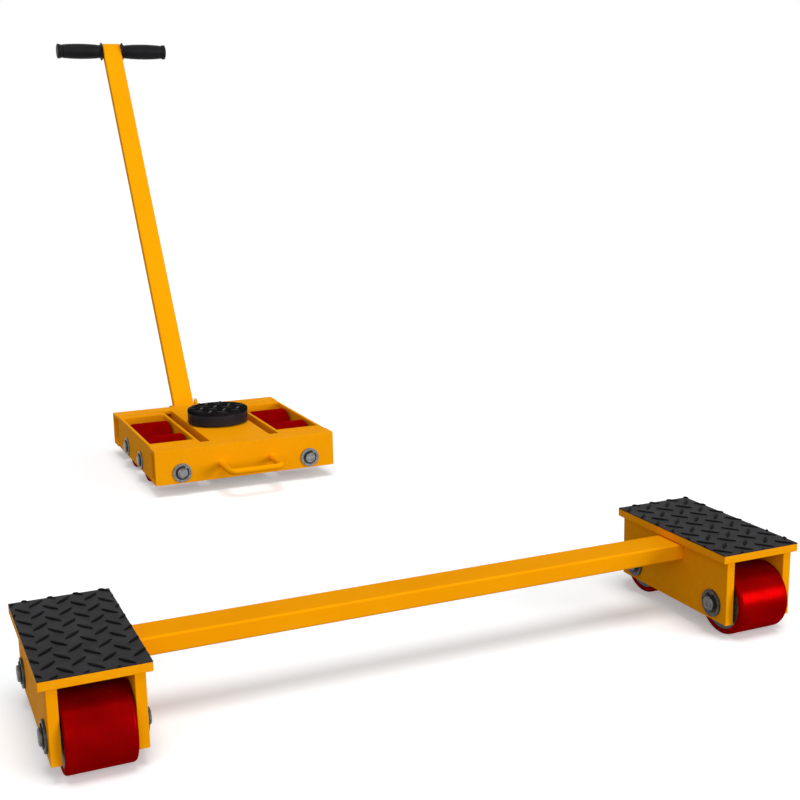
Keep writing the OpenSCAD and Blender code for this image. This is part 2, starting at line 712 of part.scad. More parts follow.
// Half outline of a grip from its flange to its closed end, with a barrel-shaped body
module grip_outline() {
    flange_t = 5;
    lip_t = 4;
    neck_r = grip_d / 2 - 2.4;
    steps = 10;
    body = [for (i = [0 : steps]) [
        neck_r + 2.4 * sin(180 * i / steps),
        flange_t + 3 + (grip_l - flange_t - lip_t - 3) * i / steps
    ]];
    polygon(concat(
        [[0, 0], [grip_flange_d / 2 - 1.5, 0], [grip_flange_d / 2, 1.5]],
        [[grip_flange_d / 2, flange_t - 1.5], [grip_flange_d / 2 - 1.5, flange_t], [neck_r, flange_t]],
        body,
        [[grip_d / 2 - 0.5, grip_l - lip_t + 1], [grip_d / 2 - 0.5, grip_l - 1.5]],
        [[grip_d / 2 - 2, grip_l], [0, grip_l]]
    ));
}

module handle_grips() color(black) at_handle() translate([0, 0, crossbar_z])
    for (turn = [90, -90]) rotate([0, turn, 0]) translate([0, 0, grip_start]) difference() {
        rotate_extrude() grip_outline();
        translate([0, 0, -1]) cylinder(h = grip_l - grip_end_cap + 1, d = crossbar_d);
    }

front_crossmember();
rear_crossmember();
deck();
carry_handle();
hitch_ears();
hitch_pin();
rocker_pins();
rocker_washers();
rocker_circlips();
thrust_lower_race();
thrust_balls();
king_pin();
turntable_plate();
turntable_pad();
handle_tube();
handle_crossbar();
handle_grips();
tie_bar();
for (s = SIDES) {
    truck_box(s[1]);
    rear_frame(s[1]);
    rear_pad(s[1]);
}
for (u = UNITS, s = SIDES) {
    axles(u, s[1]);
    axle_washers(u, s[1]);
    axle_circlips(u, s[1]);
}
for (u = UNITS, s = SIDES, e = ENDS) {
    roller_tread(u, s[1], e[1]);
    roller_hub(u, s[1], e[1]);
    roller_bearings(u, s[1], e[1]);
}
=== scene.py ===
import math

import bmesh
import bpy
from mathutils import Matrix, Vector


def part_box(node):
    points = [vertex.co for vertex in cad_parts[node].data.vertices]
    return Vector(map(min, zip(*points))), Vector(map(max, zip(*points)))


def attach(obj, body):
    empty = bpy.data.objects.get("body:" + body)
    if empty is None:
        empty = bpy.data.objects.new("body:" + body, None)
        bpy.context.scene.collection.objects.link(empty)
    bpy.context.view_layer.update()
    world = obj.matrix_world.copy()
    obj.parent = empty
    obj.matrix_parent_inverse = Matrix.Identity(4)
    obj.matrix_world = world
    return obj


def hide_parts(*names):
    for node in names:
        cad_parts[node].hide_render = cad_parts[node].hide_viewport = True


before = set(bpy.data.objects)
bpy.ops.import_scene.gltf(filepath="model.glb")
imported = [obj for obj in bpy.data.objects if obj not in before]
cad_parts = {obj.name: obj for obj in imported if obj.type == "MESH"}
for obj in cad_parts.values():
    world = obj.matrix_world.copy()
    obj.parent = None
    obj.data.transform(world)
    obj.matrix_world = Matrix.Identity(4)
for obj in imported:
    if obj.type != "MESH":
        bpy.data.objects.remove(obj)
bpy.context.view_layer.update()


# Crossmembers: two rolled steel channels, webs outermost, that carry the
# steerable skate. They are welded to the deck and sprayed with orange enamel.
# Every sprayed piece of the set shares this enamel and these softened edges.
scene = bpy.context.scene
ENDS = ("front", "rear")
MM = 0.001
ENAMEL_ORANGE = (0.95, 0.36, 0.0012, 1.0)
ENAMEL_DEEP = (0.88, 0.305, 0.001, 1.0)
ENAMEL_THIN = (0.98, 0.45, 0.02, 1.0)
CLOUD_SIZE = 90 * MM
SPECK_SIZE = 1.4 * MM
RUB_SIZE = 6 * MM
ORANGE_PEEL = 0.05 * MM
PLATE_EDGE = 0.8 * MM
EDGE_STEPS = 2
SHARP_EDGE = math.radians(30)
CREASE = math.radians(40)
SAME_SPOT = 0.002 * MM
SAME_PLANE = math.radians(0.3)


class Wire:
    """One output socket; + - * and / on it add Math nodes to its own tree."""

    def __init__(self, tree, socket):
        self.tree = tree
        self.socket = socket

    def math(self, operation, *values):
        sockets = dict(enumerate(values))
        return self.tree.node("ShaderNodeMath", {"operation": operation}, sockets)["Value"]

    def __add__(self, other):
        return self.math("ADD", self, other)

    def __radd__(self, other):
        return self.math("ADD", other, self)

    def __sub__(self, other):
        return self.math("SUBTRACT", self, other)

    def __rsub__(self, other):
        return self.math("SUBTRACT", other, self)

    def __mul__(self, other):
        return self.math("MULTIPLY", self, other)

    def __truediv__(self, other):
        return self.math("DIVIDE", self, other)

    def between(self, low, high):
        """0 below low, 1 above high, and a smooth step between them."""
        settings = {"interpolation_type": "SMOOTHSTEP"}
        sockets = {"Value": self, "From Min": low, "From Max": high}
        return self.tree.node("ShaderNodeMapRange", settings, sockets)["Result"]


class Tree:
    """A node tree, for a finish or a shape, that is written one node at a time."""

    def __init__(self, tree):
        self.tree = tree

    def node(self, kind, settings=None, sockets=None):
        made = self.tree.nodes.new(kind)
        for name, value in (settings or {}).items():
            setattr(made, name, value)
        for name, value in (sockets or {}).items():
            self.plug(made, name, value)
        outputs = {}
        for output in made.outputs:
            if output.enabled:
                outputs.setdefault(output.name, Wire(self, output))
        return outputs

    def plug(self, made, name, value):
        live = [s for s in made.inputs if s.enabled]
        if isinstance(name, int):
            socket = live[name]
        else:
            socket = next(s for s in live if s.name == name)
        if isinstance(value, Wire):
            self.tree.links.new(value.socket, socket)
        else:
            socket.default_value = value


class Finish(Tree):
    """A material whose one shader is set by name, with constants on its own sockets."""

    def __init__(self, name, **constants):
        self.material = bpy.data.materials.new(name)
        self.material.use_nodes = True
        super().__init__(self.material.node_tree)
        self.shader = self.tree.nodes["Principled BSDF"]
        self.place = self.node("ShaderNodeTexCoord")["Object"]
        for socket, value in constants.items():
            self.set(socket.replace("_", " "), value)

    def set(self, name, value):
        self.plug(self.shader, name, value)

    def noise(self, size, detail):
        """Cloudy variation, 0 to 1, whose patches are about size metres across."""
        sockets = {"Vector": self.place, "Scale": 1 / size, "Detail": detail}
        return self.node("ShaderNodeTexNoise", {}, sockets)["Fac"]

    def blend(self, share, first, second):
        sockets = {"Factor": share, "A": first, "B": second}
        return self.node("ShaderNodeMix", {"data_type": "RGBA"}, sockets)["Result"]

    def relief(self, height, depth):
        sockets = {"Height": height, "Distance": depth, "Strength": 1.0}
        self.set("Normal", self.node("ShaderNodeBump", {}, sockets)["Normal"])


def sprayed_enamel():
    finish = Finish("orange_enamel", IOR=1.5, Specular_IOR_Level=0.003)
    clouds = finish.noise(CLOUD_SIZE, 3.0)
    specks = finish.noise(SPECK_SIZE, 1.0)
    edges = finish.node("ShaderNodeNewGeometry")["Pointiness"].between(0.53, 0.60)
    rubbed = edges * finish.noise(RUB_SIZE, 4.0).between(0.45, 0.62)
    colour = finish.blend(clouds.between(0.35, 0.75) * 0.35, ENAMEL_ORANGE, ENAMEL_DEEP)
    colour = finish.blend(rubbed * 0.45, colour, ENAMEL_THIN)
    finish.set("Base Color", colour)
    finish.set("Roughness", 0.42 + clouds * 0.12 - rubbed * 0.06)
    finish.relief(specks * 0.6 + clouds * 0.4, ORANGE_PEEL)
    return finish.material


def soften(work, width, shortest=0.0):
    """Rounds the sharp edges of an open mesh that are at least as long as shortest."""
    edges = [
        e for e in work.edges
        if e.is_manifold and e.calc_face_angle() > SHARP_EDGE and e.calc_length() >= shortest
    ]
    bmesh.ops.bevel(
        work, geom=edges, offset=width, segments=EDGE_STEPS, profile=0.5, affect="EDGES",
        clamp_overlap=False,
    )


def piece(name, work, body, finish, replaces=()):
    """Turns an open mesh into a finished piece that rides on a body."""
    mesh = bpy.data.meshes.new(name)
    work.to_mesh(mesh)
    work.free()
    mesh.shade_smooth()
    mesh.set_sharp_from_angle(angle=CREASE)
    mesh.materials.append(finish)
    made = bpy.data.objects.new(name, mesh)
    scene.collection.objects.link(made)
    even = made.modifiers.new("even_shading", "WEIGHTED_NORMAL")
    even.keep_sharp = True
    shaded = made.evaluated_get(bpy.context.evaluated_depsgraph_get())
    made.data = bpy.data.meshes.new_from_object(shaded)
    made.modifiers.remove(even)
    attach(made, body)
    if replaces:
        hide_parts(*replaces)
    return made


def open_solid(node):
    """A part's solid as one merged open mesh, with its flat faces whole."""
    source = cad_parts[node].data
    work = bmesh.new()
    corners = [work.verts.new(v.co) for v in source.vertices]
    for face in source.polygons:
        work.faces.new([corners[i] for i in face.vertices])
    bmesh.ops.remove_doubles(work, verts=work.verts, dist=SAME_SPOT)
    bmesh.ops.dissolve_limit(work, angle_limit=SAME_PLANE, verts=work.verts, edges=work.edges)
    return work


def softened(node, body, finish, width, shortest=0.0):
    """A copy of a part's solid with softened edges, in that part's place."""
    work = open_solid(node)
    if width:
        soften(work, width, shortest)
    return piece(node + "_finished", work, body, finish, replaces=[node])


enamel = sprayed_enamel()
for end in ENDS:
    softened(end + "_crossmember", "front_frame", enamel, PLATE_EDGE)


# Deck: a steel plate on two side walls, welded between the channels and
# sprayed with them. Its boss carries the king pin of the turntable.
softened("deck", "front_frame", enamel, PLATE_EDGE)


# Carry handle: a bent steel rod, welded to the front crossmember. Its weld
# beads, and those of the ears and trucks, are rows of small overlapping ripples.
CARRY_ROD = 12 * MM
CARRY_EDGE = 0.2 * MM
CARRY_WELD = 2.2 * MM
WELD_RADIUS = 3.0 * MM
WELD_PITCH = 1.7 * MM
RIPPLE_SEGMENTS = 8
RIPPLE_RINGS = 5
RIPPLE_SIZES = (0.88, 1.08)
RIPPLE_SEED = 0


class Rule(Tree):
    """A Geometry Nodes tree with named inputs, grown once into an open mesh."""

    def __init__(self, name, **inputs):
        group = bpy.data.node_groups.new(name, "GeometryNodeTree")
        group.interface.new_socket("Grown", in_out="OUTPUT", socket_type="NodeSocketGeometry")
        for key, kind in {"Start": "Geometry", "Finish": "Material", **inputs}.items():
            label = key.replace("_", " ")
            group.interface.new_socket(label, in_out="INPUT", socket_type="NodeSocket" + kind)
        super().__init__(group)
        self.given = self.node("NodeGroupInput")

    def join(self, *shapes):
        made = self.tree.nodes.new("GeometryNodeJoinGeometry")
        for shape in shapes:
            self.tree.links.new(shape.socket, made.inputs[0])
        return Wire(self, made.outputs[0])

    def end(self, shape):
        real = self.node("GeometryNodeRealizeInstances", {}, {"Geometry": shape})["Geometry"]
        sockets = {"Geometry": real, "Material": self.given["Finish"]}
        coated = self.node("GeometryNodeSetMaterial", {}, sockets)["Geometry"]
        self.node("NodeGroupOutput", {}, {"Grown": coated})

    def grow(self, start, **values):
        holder = bpy.data.objects.new("start", start)
        scene.collection.objects.link(holder)
        modifier = holder.modifiers.new("rule", "NODES")
        modifier.node_group = self.tree
        for item in self.tree.interface.items_tree:
            key = item.name.replace(" ", "_")
            if item.in_out == "INPUT" and key in values:
                modifier[item.identifier] = values[key]
        grown = holder.evaluated_get(bpy.context.evaluated_depsgraph_get())
        work = bmesh.new()
        work.from_mesh(bpy.data.meshes.new_from_object(grown))
        holder.modifiers.remove(modifier)
        bpy.data.objects.remove(holder)
        return work


def weld_rule():
    """Ripples of uneven size along every line that it starts from."""
    rule = Rule("weld_bead", Radius="Float", Pitch="Float")
    line = rule.node("GeometryNodeMeshToCurve", {}, {"Mesh": rule.given["Start"]})["Curve"]
    sockets = {"Curve": line, "Length": rule.given["Pitch"]}
    dots = rule.node("GeometryNodeResampleCurve", {"mode": "LENGTH"}, sockets)["Curve"]
    sockets = {
        "Segments": RIPPLE_SEGMENTS, "Rings": RIPPLE_RINGS, "Radius": rule.given["Radius"],
    }
    ripple = rule.node("GeometryNodeMeshUVSphere", {}, sockets)["Mesh"]
    sockets = {"Min": RIPPLE_SIZES[0], "Max": RIPPLE_SIZES[1], "Seed": RIPPLE_SEED}
    size = rule.node("FunctionNodeRandomValue", {"data_type": "FLOAT"}, sockets)["Value"]
    sockets = {"Points": dots, "Instance": ripple, "Scale": size}
    rule.end(rule.node("GeometryNodeInstanceOnPoints", {}, sockets)["Instances"])
    return rule


weld_bead = weld_rule()


def weld(name, body, paths, radius=WELD_RADIUS):
    """One row of ripples along each path, a list of corners."""
    lines = bpy.data.meshes.new(name + "_path")
    corners = []
    links = []
    for path in paths:
        links += [(len(corners) + i, len(corners) + i + 1) for i in range(len(path) - 1)]
        corners += path
    lines.from_pydata(corners, links, [])
    work = weld_bead.grow(lines, Finish=enamel, Radius=radius, Pitch=WELD_PITCH)
    return piece(name, work, body, enamel)


def ring_path(centre, radius, steps=24):
    """A closed circle in the plane of the crossmember's face."""
    turns = [2 * math.pi * i / steps for i in range(steps + 1)]
    around = [Vector((math.cos(t), 0.0, math.sin(t))) for t in turns]
    return [centre + radius * way for way in around]


low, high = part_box("carry_handle")
softened("carry_handle", "front_frame", enamel, CARRY_EDGE)
feet = [
    Vector((x, high.y, high.z - CARRY_ROD / 2))
    for x in (low.x + CARRY_ROD / 2, high.x - CARRY_ROD / 2)
]
rings = [ring_path(foot, CARRY_ROD / 2) for foot in feet]
weld("carry_handle_welds", "front_frame", rings, CARRY_WELD)


# Hitch ears: two flame-cut steel plates welded behind the rear crossmember,
# and the zinc-plated pin through them that the pull handle swings on.
EAR_THICKNESS = 6 * MM
EAR_FOOT_RISE = 9 * MM
EAR_FOOT_DROP = 13 * MM
HITCH_PIN_EDGE = 0.3 * MM
ZINC_GREY = (0.20, 0.20, 0.205, 1.0)
ZINC_DULL = (0.11, 0.11, 0.113, 1.0)
BLOTCH_SIZE = 4 * MM
TOOL_MARK_SIZE = 0.5 * MM
TOOL_MARK_DEPTH = 0.02 * MM
softened("hitch_ears", "front_frame", enamel, PLATE_EDGE)
low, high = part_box("hitch_ears")
web_low, web_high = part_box("rear_crossmember")
feet = (web_low.z + EAR_FOOT_RISE, web_high.z - EAR_FOOT_DROP)
ear_sides = (low.x, low.x + EAR_THICKNESS, high.x - EAR_THICKNESS, high.x)
weld("ear_welds", "front_frame", [[(x, low.y, z) for z in feet] for x in ear_sides])


def turned_steel(name, light, dark, roughness):
    finish = Finish(name, Metallic=0.85)
    blotches = finish.noise(BLOTCH_SIZE, 4.0)
    marks = finish.noise(TOOL_MARK_SIZE, 3.0)
    finish.set("Base Color", finish.blend(blotches.between(0.4, 0.7), light, dark))
    finish.set("Roughness", roughness + marks * 0.2)
    finish.relief(marks, TOOL_MARK_DEPTH)
    return finish.material


zinc = turned_steel("zinc_plate", ZINC_GREY, ZINC_DULL, roughness=0.34)
softened("hitch_pin", "front_frame", zinc, HITCH_PIN_EDGE)


# Rocker pins: turned stub pins through the crossmembers, on which the roller
# trucks rock, with zinc-plated washers and black circlips.
STEEL_GREY = (0.23, 0.23, 0.235, 1.0)
STEEL_DARK = (0.08, 0.079, 0.077, 1.0)
PHOSPHATE_BLACK = (0.012, 0.012, 0.013, 1.0)
PHOSPHATE_GREY = (0.03, 0.03, 0.03, 1.0)
PIN_EDGE = 0.2 * MM
WASHER_EDGE = 0.4 * MM
CIRCLIP_EDGE = 0.2 * MM
axle_steel = turned_steel("turned_steel", STEEL_GREY, STEEL_DARK, roughness=0.30)
black_steel = turned_steel("black_phosphate", PHOSPHATE_BLACK, PHOSPHATE_GREY, roughness=0.35)
softened("rocker_pins", "front_frame", axle_steel, PIN_EDGE)
softened("rocker_washers", "front_frame", zinc, WASHER_EDGE)
softened("rocker_circlips", "front_frame", black_steel, CIRCLIP_EDGE)


# Front roller trucks: welded steel boxes between the crossmembers, open above
# and below, each with a weld bead in its four inner corners.
SIDES = {"left": -1, "right": 1}
TRUCK_SIDE = 6 * MM
TRUCK_END = 25 * MM
WELD_RISE = 2 * MM
WELD_DROP = 4 * MM
for side in SIDES:
    body = "steer_%s_truck" % side
    softened("steer_%s_box" % side, body, enamel, PLATE_EDGE)
    low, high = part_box("steer_%s_box" % side)
    across = (low.x + TRUCK_SIDE, high.x - TRUCK_SIDE)
    along = (low.y + TRUCK_END, high.y - TRUCK_END)
    depth = (low.z + WELD_RISE, high.z - WELD_DROP)
    beads = [[(x, y, z) for z in depth] for x in across for y in along]
    weld("steer_%s_welds" % side, body, beads)


# Rear trucks: a thick steel top plate welded on two side plates. The tie bar
# passes through a slot in the inner side plate. The short edges of the weld
# fillets stay as they are in the solid.
SHORTEST_ROUNDED = 9 * MM
for side in SIDES:
    body = "rear_%s_truck" % side
    softened("rear_%s_frame" % side, body, enamel, PLATE_EDGE, SHORTEST_ROUNDED)


# Axles of all four trucks: turned steel, with their spacers, washers and
# circlips. Those of the rear trucks get darker copies of the steel and washer
# colours, which is painted shade.
# Darker steel and washer colours for the rear trucks: painted shade.
SHADED_PIN_GREY = (0.14, 0.14, 0.14, 1.0)
SHADED_PIN_DARK = (0.06, 0.06, 0.058, 1.0)
SHADED_WASHER_BROWN = (0.085, 0.08, 0.07, 1.0)
SHADED_WASHER_BLACK = (0.04, 0.038, 0.034, 1.0)
oiled_steel = turned_steel("oiled_steel", SHADED_PIN_GREY, SHADED_PIN_DARK, roughness=0.34)
oiled_washer = turned_steel("oiled_washer", SHADED_WASHER_BROWN, SHADED_WASHER_BLACK, roughness=0.38)
for unit, pin, washer in (("steer", axle_steel, zinc), ("rear", oiled_steel, oiled_washer)):
    for side in SIDES:
        body = "%s_%s_truck" % (unit, side)
        stem = "%s_%s_" % (unit, side)
        softened(stem + "axles", body, pin, PIN_EDGE)
        softened(stem + "washers", body, washer, WASHER_EDGE)
        softened(stem + "circlips", body, black_steel, CIRCLIP_EDGE)


# Rollers: a deep red polyurethane tread, cast round a turned steel hub that
# holds two sealed ball bearings.
TREAD_RED = (0.27, 0.0006, 0.0008, 1.0)
TREAD_DEEP = (0.21, 0.0004, 0.0006, 1.0)
TREAD_GLOSS = (1.0, 0.0, 0.0, 1.0)
TREAD_CLOUD_SIZE = 25 * MM
TREAD_GRAIN_SIZE = 0.8 * MM
TREAD_GRAIN_DEPTH = 0.02 * MM
TREAD_EDGE = 0.2 * MM
HUB_GREY = (0.10, 0.10, 0.105, 1.0)
HUB_DARK = (0.05, 0.05, 0.05, 1.0)
HUB_EDGE = 0.3 * MM
BEARING_EDGE = 0.2 * MM


def cast_polyurethane():
    finish = Finish(
        "red_polyurethane", IOR=1.5, Metallic=0.4, Specular_IOR_Level=0.0,
        Specular_Tint=TREAD_GLOSS,
    )
    clouds = finish.noise(TREAD_CLOUD_SIZE, 3.0)
    grain = finish.noise(TREAD_GRAIN_SIZE, 2.0)
    finish.set("Base Color", finish.blend(clouds.between(0.3, 0.7), TREAD_RED, TREAD_DEEP))
    finish.set("Roughness", 0.26 + clouds * 0.10)
    finish.relief(grain, TREAD_GRAIN_DEPTH)
    return finish.material


tread_red = cast_polyurethane()
hub_steel = turned_steel("hub_steel", HUB_GREY, HUB_DARK, roughness=0.35)
for unit in ("steer", "rear"):
    for side in SIDES:
        for end in ENDS:
            stem = "%s_%s_%s_" % (unit, side, end)
            body = stem + "roller"
            softened(stem + "tread", body, tread_red, TREAD_EDGE)
            softened(stem + "hub", body, hub_steel, HUB_EDGE)
            softened(stem + "bearings", body, hub_steel, BEARING_EDGE)


# Turntable: a black enamelled steel plate with a rubber pad bonded on it, on a
# thrust bearing and a king pin. The pad is cut from the same moulded sheet as
# those of the rear trucks, with domed, pointed bars in two directions.
RUBBER_BLACK = (0.019, 0.0183, 0.0195, 1.0)
PAD_BLACK = (0.014, 0.0135, 0.0145, 1.0)
BAR_SHADE = (0.008, 0.008, 0.0085, 1.0)
PLATE_BLACK = (0.013, 0.014, 0.019, 1.0)
PLATE_SHEEN = (0.018, 0.020, 0.026, 1.0)
DUST_SIZE = 30 * MM
RUBBER_GRAIN_SIZE = 0.7 * MM
RUBBER_GRAIN_DEPTH = 0.06 * MM
PLATE_CLOUD_SIZE = 40 * MM
PLATE_SPECK_SIZE = 1.2 * MM
PLATE_SPECK_DEPTH = 0.02 * MM
BAR_LENGTH = 26 * MM
BAR_WIDTH = 6 * MM
BAR_RISE = 1.5 * MM
BAR_SINK = 0.5 * MM
BAR_PITCH = (32 * MM, 38.5 * MM)
BAR_TURN = math.radians(50)
BAR_COLUMNS = 7
BAR_ROWS = 9
BAR_CORNERS = 7
BAR_LEVELS = (  # share of the length, share of the width, height
    (1.0, 1.0, -BAR_SINK), (1.0, 1.0, 0.3 * BAR_RISE),
    (0.95, 0.74, 0.8 * BAR_RISE), (0.8, 0.34, BAR_RISE),
)
TURNTABLE_PATTERN = Vector((-14.5, -15, 0)) * MM
TURNTABLE_PATTERN_TURN = math.radians(13)
PAD_EDGE = 2 * MM
PAD_EDGE_STEPS = 6
RIM_CUTS = 40
CUT_WIDTH = 1e-7
ON_AXIS = 1e-6


def moulded_rubber(name, dark, light, shine, roughness):
    finish = Finish(name, IOR=1.5, Specular_IOR_Level=shine)
    dust = finish.noise(DUST_SIZE, 4.0)
    grain = finish.noise(RUBBER_GRAIN_SIZE, 2.0)
    finish.set("Base Color", finish.blend(dust.between(0.3, 0.75), dark, light))
    finish.set("Roughness", roughness + dust * 0.15)
    finish.relief(grain, RUBBER_GRAIN_DEPTH)
    return finish.material


def domed_bar():
    """One raised bar with pointed ends, whose levels narrow to a rounded back."""
    bend = ((BAR_LENGTH / 2) ** 2 + (BAR_WIDTH / 2) ** 2) / BAR_WIDTH
    turns = [math.pi * (i / (BAR_CORNERS - 1) - 0.5) for i in range(BAR_CORNERS)]
    along = [BAR_LENGTH / 2 * math.sin(t) for t in turns]
    half = [(x, math.sqrt(bend ** 2 - x ** 2) - bend + BAR_WIDTH / 2) for x in along]
    outline = [(x, -y) for x, y in half] + [(x, y) for x, y in reversed(half[1:-1])]
    work = bmesh.new()
    rings = [
        [work.verts.new((x * length, y * width, height)) for x, y in outline]
        for length, width, height in BAR_LEVELS
    ]
    for lower, upper in zip(rings, rings[1:]):
        for i in range(len(outline)):
            j = (i + 1) % len(outline)
            work.faces.new((lower[i], lower[j], upper[j], upper[i]))
    work.faces.new(list(reversed(rings[0])))
    work.faces.new(rings[-1])
    mesh = bpy.data.meshes.new("domed_bar")
    work.to_mesh(mesh)
    work.free()
    return mesh


def bar_rule():
    """Two grids of the start bar, turned opposite ways and half a pitch apart."""
    rule = Rule(
        "raised_bars", Columns="Int", Rows="Int", Pitch_X="Float", Pitch_Y="Float",
        Bar_Turn="Float", Sheet_Turn="Float", Centre="Vector",
    )
    columns, rows = rule.given["Columns"], rule.given["Rows"]
    pitch_x, pitch_y = rule.given["Pitch X"], rule.given["Pitch Y"]
    sockets = {
        "Size X": (columns - 1) * pitch_x, "Size Y": (rows - 1) * pitch_y,
        "Vertices X": columns, "Vertices Y": rows,
    }
    grid = rule.node("GeometryNodeMeshGrid", {}, sockets)["Mesh"]
    step = rule.node("ShaderNodeCombineXYZ", {}, {"X": pitch_x / 2, "Y": pitch_y / 2})["Vector"]
    sockets = {"Geometry": grid, "Translation": step}
    between = rule.node("GeometryNodeTransform", {}, sockets)["Geometry"]
    rows_of_bars = []
    for points, turn in ((grid, 0 - rule.given["Bar Turn"]), (between, rule.given["Bar Turn"])):
        angle = rule.node("ShaderNodeCombineXYZ", {}, {"Z": turn})["Vector"]
        sockets = {"Points": points, "Instance": rule.given["Start"], "Rotation": angle}
        rows_of_bars.append(rule.node("GeometryNodeInstanceOnPoints", {}, sockets)["Instances"])
    angle = rule.node("ShaderNodeCombineXYZ", {}, {"Z": rule.given["Sheet Turn"]})["Vector"]
    sockets = {
        "Geometry": rule.join(*rows_of_bars), "Translation": rule.given["Centre"],
        "Rotation": angle,
    }
    rule.end(rule.node("GeometryNodeTransform", {}, sockets)["Geometry"])
    return rule


def trim(work, planes):
    """Cuts a mesh off outside each plane (a point and its outward way) and closes it."""
    for point, outward in planes:
        everything = work.verts[:] + work.edges[:] + work.faces[:]
        cut = bmesh.ops.bisect_plane(
            work, geom=everything, dist=CUT_WIDTH, plane_co=point, plane_no=outward,
            clear_outer=True,
        )
        rim = [e for e in cut["geom_cut"] if isinstance(e, bmesh.types.BMEdge) and e.is_boundary]
        if rim:
            bmesh.ops.edgeloop_fill(work, edges=rim)
    bmesh.ops.recalc_face_normals(work, faces=work.faces)


pad_rubber = moulded_rubber("pad_rubber", BAR_SHADE, PAD_BLACK, shine=0.0, roughness=0.5)
rubbed_rubber = moulded_rubber(
    "rubbed_rubber", BAR_SHADE, RUBBER_BLACK, shine=0.03, roughness=0.25
)
raised_bars = bar_rule()


def bars(name, body, centre, turn, planes, finish):
    """The raised bars of one sheet, cut off at the sheet's edge."""
    work = raised_bars.grow(
        domed_bar(), Finish=finish, Columns=BAR_COLUMNS, Rows=BAR_ROWS, Pitch_X=BAR_PITCH[0],
        Pitch_Y=BAR_PITCH[1], Bar_Turn=BAR_TURN, Sheet_Turn=turn, Centre=centre,
    )
    trim(work, planes)
    return piece(name, work, body, finish)


def turned(outline, centre, axis, steps=96):
    """A closed round shape from (along, radius) pairs, turned about an axis from a centre."""
    way = Vector(axis).normalized()
    across = way.orthogonal().normalized()
    other = way.cross(across)
    work = bmesh.new()
    rings = []
    for along, radius in outline:
        spot = Vector(centre) + way * along
        if radius < ON_AXIS:
            rings.append([work.verts.new(spot)] * steps)
            continue
        turns = [2 * math.pi * i / steps for i in range(steps)]
        around = [across * math.cos(t) + other * math.sin(t) for t in turns]
        rings.append([work.verts.new(spot + radius * outwards) for outwards in around])
    for lower, upper in zip(rings, rings[1:]):
        for i in range(steps):
            j = (i + 1) % steps
            corners = list(dict.fromkeys((lower[i], lower[j], upper[j], upper[i])))
            work.faces.new(corners)
    bmesh.ops.recalc_face_normals(work, faces=work.faces)
    return work


def black_enamel():
    finish = Finish("black_enamel", IOR=1.5, Specular_IOR_Level=0.16)
    clouds = finish.noise(PLATE_CLOUD_SIZE, 3.0)
    finish.set("Base Color", finish.blend(clouds, PLATE_BLACK, PLATE_SHEEN))
    finish.set("Roughness", 0.16 + clouds * 0.06)
    finish.relief(finish.noise(PLATE_SPECK_SIZE, 1.0), PLATE_SPECK_DEPTH)
    return finish.material


softened("turntable_plate", "turntable", black_enamel(), PLATE_EDGE)
low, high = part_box("turntable_pad")
pad_radius = (high.x - low.x) / 2
pad_height = high.z - low.z - BAR_RISE
centre = Vector(((low.x + high.x) / 2, (low.y + high.y) / 2, high.z - BAR_RISE))
arc = [math.pi / 2 * i / PAD_EDGE_STEPS for i in range(PAD_EDGE_STEPS + 1)]
outline = [(-pad_height, 0.0), (-pad_height, pad_radius)]
outline += [
    (PAD_EDGE * (math.sin(t) - 1), pad_radius - PAD_EDGE * (1 - math.cos(t))) for t in arc
]
outline += [(0.0, 0.0)]
piece(
    "turntable_pad_sheet", turned(outline, centre, (0, 0, 1)), "turntable", pad_rubber,
    replaces=["turntable_pad"],
)
turns = [2 * math.pi * i / RIM_CUTS for i in range(RIM_CUTS)]
ways = [Vector((math.cos(t), math.sin(t), 0)) for t in turns]
bars(
    "turntable_pad_bars", "turntable", centre + TURNTABLE_PATTERN, TURNTABLE_PATTERN_TURN,
    [(centre + way * (pad_radius - PAD_EDGE), way) for way in ways], rubbed_rubber,
)
softened("king_pin", "turntable", axle_steel, PIN_EDGE)
# The thrust bearing, hidden under the plate, is shown as its solids are.
for node in ("thrust_balls", "thrust_lower_race"):
    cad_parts[node].data.materials.clear()
    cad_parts[node].data.materials.append(axle_steel)


# Tread pads: a thin moulded rubber sheet bonded on each rear truck, with the
# same raised bars, cut off at the sheet's four edges. The bars are coloured
# darker than the sheet of the same rubber, which is painted shade.
RUBBER_GREY = (0.034, 0.0325, 0.035, 1.0)
BAR_SHADOW_BLACK = (0.0035, 0.0035, 0.004, 1.0)
SHEET_EDGE = 0.4 * MM
SHEET_PATTERN = (11 * MM, 6.5 * MM)
SHEET_PATTERN_TURN = math.radians(-4)
SHEET_MARGIN = Vector((0.3, 0.3, 0)) * MM
sheet_rubber = moulded_rubber(
    "sheet_rubber", RUBBER_BLACK, RUBBER_GREY, shine=0.04, roughness=0.5
)
# The bars' rubber is a darker copy of the sheet's: painted shade.
bar_rubber = moulded_rubber("bar_rubber", BAR_SHADOW_BLACK, BAR_SHADE, shine=0.01, roughness=0.40)
for side, sign in SIDES.items():
    body = "rear_%s_truck" % side
    low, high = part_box("rear_%s_pad" % side)
    top = high.z - BAR_RISE
    work = bmesh.new()
    size = Matrix.Diagonal((high.x - low.x, high.y - low.y, top - low.z, 1.0))
    place = Matrix.Translation(((low.x + high.x) / 2, (low.y + high.y) / 2, (low.z + top) / 2))
    bmesh.ops.create_cube(work, size=1.0, matrix=place @ size)
    soften(work, SHEET_EDGE)
    piece(
        "rear_%s_pad_sheet" % side, work, body, sheet_rubber,
        replaces=["rear_%s_pad" % side],
    )
    middle = Vector(((low.x + high.x) / 2, (low.y + high.y) / 2, top))
    centre = middle + Vector((-sign * SHEET_PATTERN[0], SHEET_PATTERN[1], 0))
    inner_low, inner_high = low + SHEET_MARGIN, high - SHEET_MARGIN
    edges = [
        (inner_low, (-1, 0, 0)), (inner_high, (1, 0, 0)),
        (inner_low, (0, -1, 0)), (inner_high, (0, 1, 0)),
    ]
    bars("rear_%s_pad_bars" % side, body, centre, SHEET_PATTERN_TURN, edges, bar_rubber)


